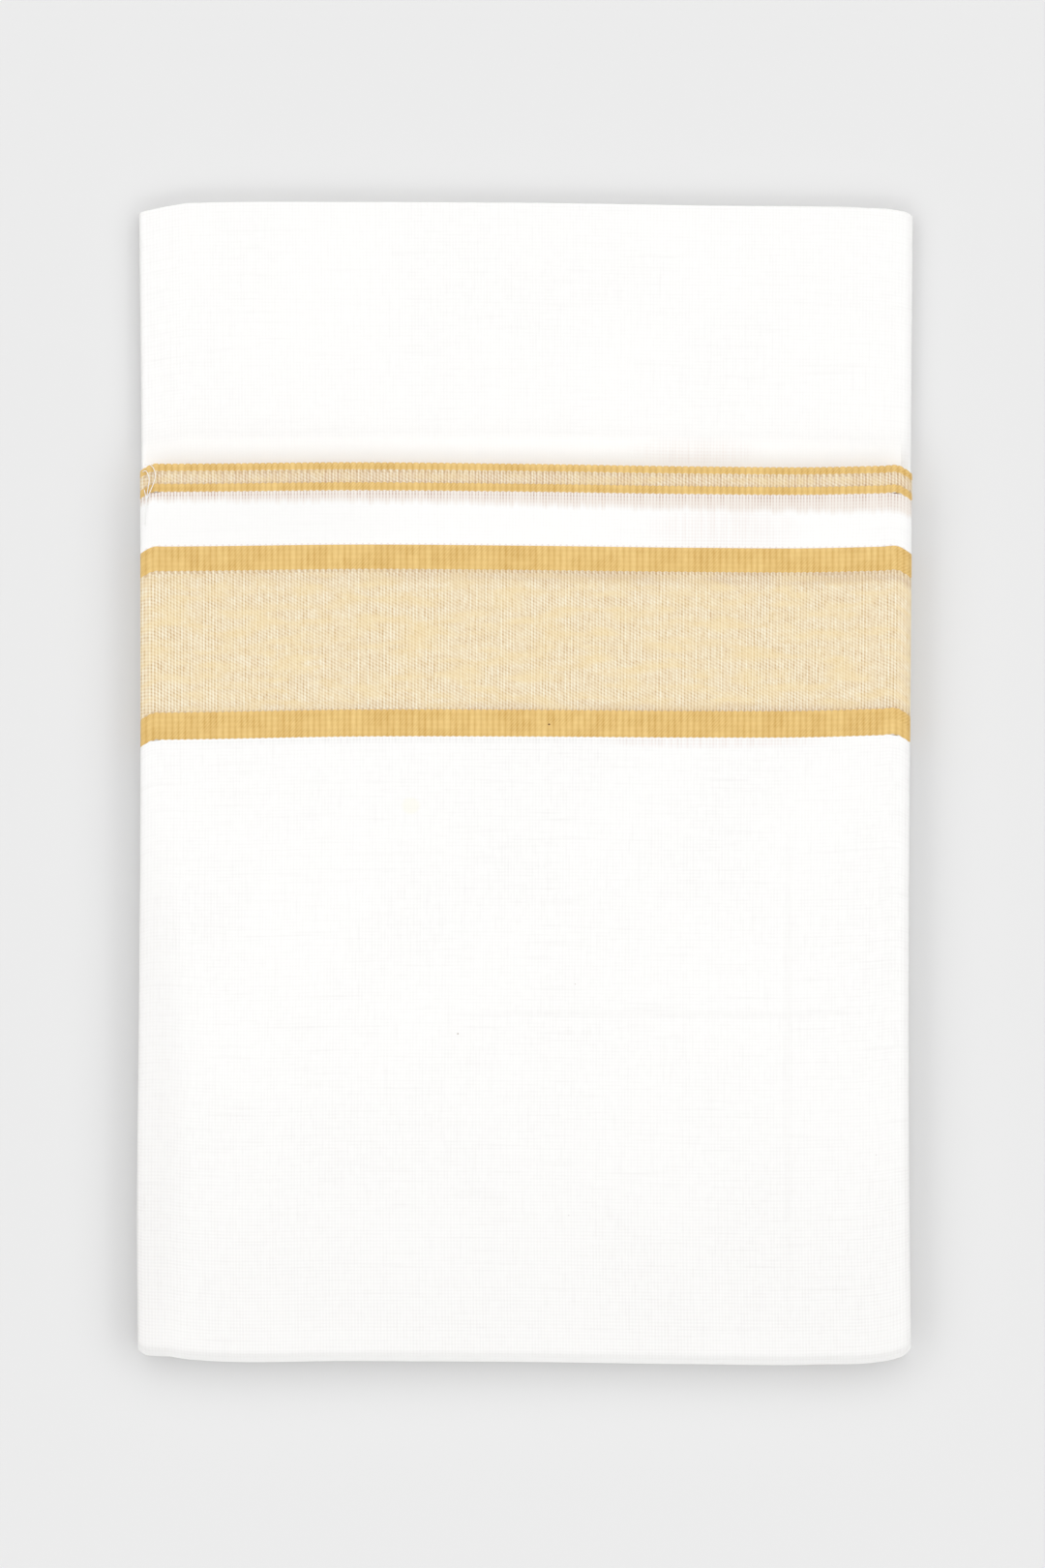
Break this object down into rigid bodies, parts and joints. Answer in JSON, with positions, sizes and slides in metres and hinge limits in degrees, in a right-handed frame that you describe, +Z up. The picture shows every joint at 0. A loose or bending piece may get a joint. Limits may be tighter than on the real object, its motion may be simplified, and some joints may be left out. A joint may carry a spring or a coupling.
{
  "type": "folded dhoti cloth",
  "caption": "Long cotton dhoti cloth folded into a flat rectangular packet, its lower end turned up so that the gold borders lie across the front.",
  "frame": {"origin": "on the surface that the packet lies on, under the middle of the packet's box", "axes": "+X towards the right side fold, +Y up the packet from its bottom fold to its top edge, +Z up from the surface"},
  "size_m": [0.2388, 0.3584, 0.01],
  "materials": {
    "cotton_white": "fine plain-woven white cotton, pressed, matte",
    "cotton_layers": "the same white cotton, seen edge-on in folds",
    "border_wide_gold": "woven border, ribbed gold stripes beside a pale gold field, soft sheen",
    "border_narrow_gold": "woven border, two thin ribbed gold stripes and a pale gold line, soft sheen"
  },
  "bodies": {
    "root": {"back_cloth": "cotton_white", "flap_cloth": "cotton_white", "border_wide": "border_wide_gold", "border_gap": "cotton_white", "border_narrow": "border_narrow_gold", "top_cloth": "cotton_white", "inner_layers": "cotton_layers"}
  },
  "joints": []
}
